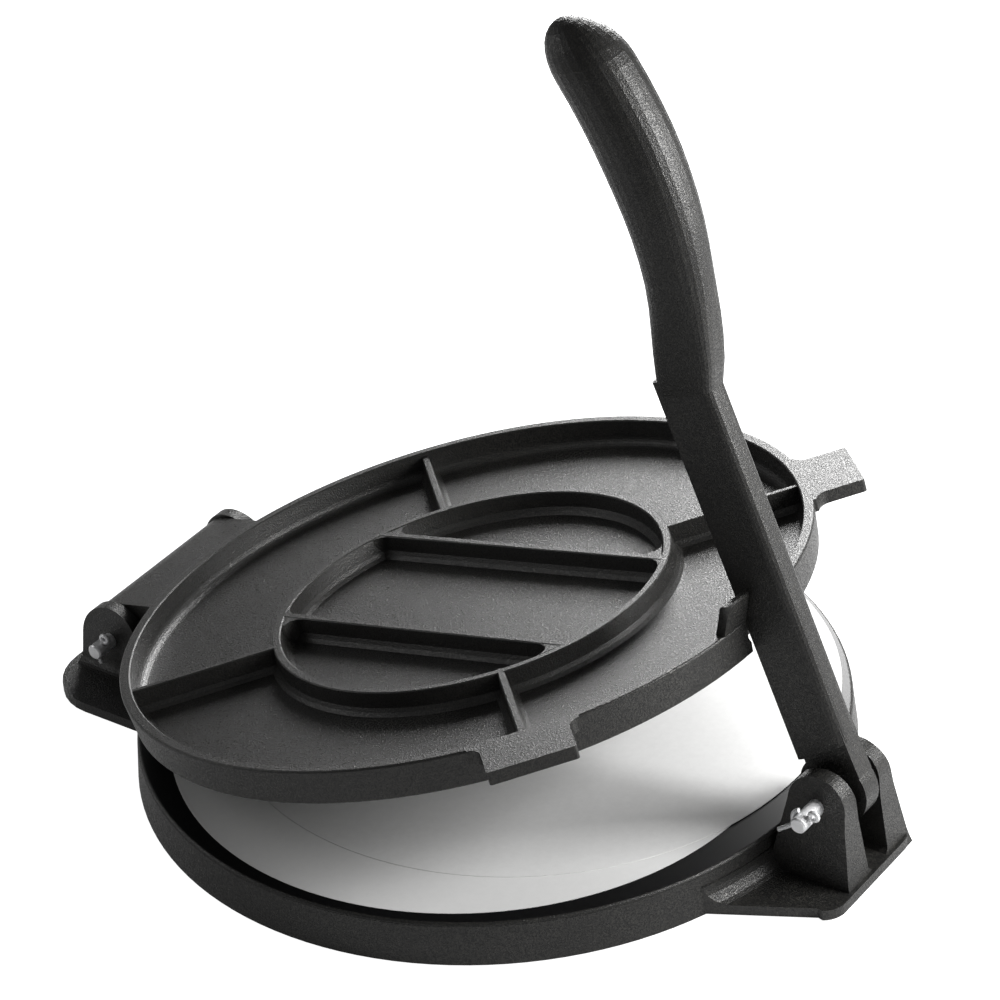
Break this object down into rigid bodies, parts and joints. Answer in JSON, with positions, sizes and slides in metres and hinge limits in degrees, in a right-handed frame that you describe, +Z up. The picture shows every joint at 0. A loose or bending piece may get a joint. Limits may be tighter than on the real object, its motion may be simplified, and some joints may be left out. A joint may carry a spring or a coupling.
{
  "type": "tortilla press",
  "caption": "Cast iron hand press: round base, hinged upper plate stiffened by ribs, and a lever that swings over to press the plate down.",
  "frame": {"origin": "centre of the round base, on the surface that it stands on", "axes": "+X from the hinge towards the lever, +Y along both pins, +Z up"},
  "size_m": [0.3239, 0.26, 0.2977],
  "materials": {
    "cast_iron": "seasoned black, fine sand-cast grain",
    "zinc_steel": "zinc-plated wire and rod",
    "liner_paper": "smooth coated paper"
  },
  "bodies": {
    "base": {"base": "cast_iron", "lower_liner": "liner_paper", "upper_liner": "liner_paper", "hinge_pin": "zinc_steel", "lever_pin": "zinc_steel", "split_pins": "zinc_steel"},
    "plate": {"upper_plate": "cast_iron"},
    "lever": {"lever": "cast_iron"}
  },
  "joints": [
    {"name": "plate_hinge", "type": "hinge", "parent": "base", "child": "plate", "pos_m": [-0.1464, 0, 0.0158], "axis": [0, -1, 0], "range_deg": [-13.52, 86.48]},
    {"name": "lever_pivot", "type": "hinge", "parent": "base", "child": "lever", "pos_m": [0.1442, 0, 0.0318], "axis": [0, 1, 0], "range_deg": [0, 111]}
  ]
}
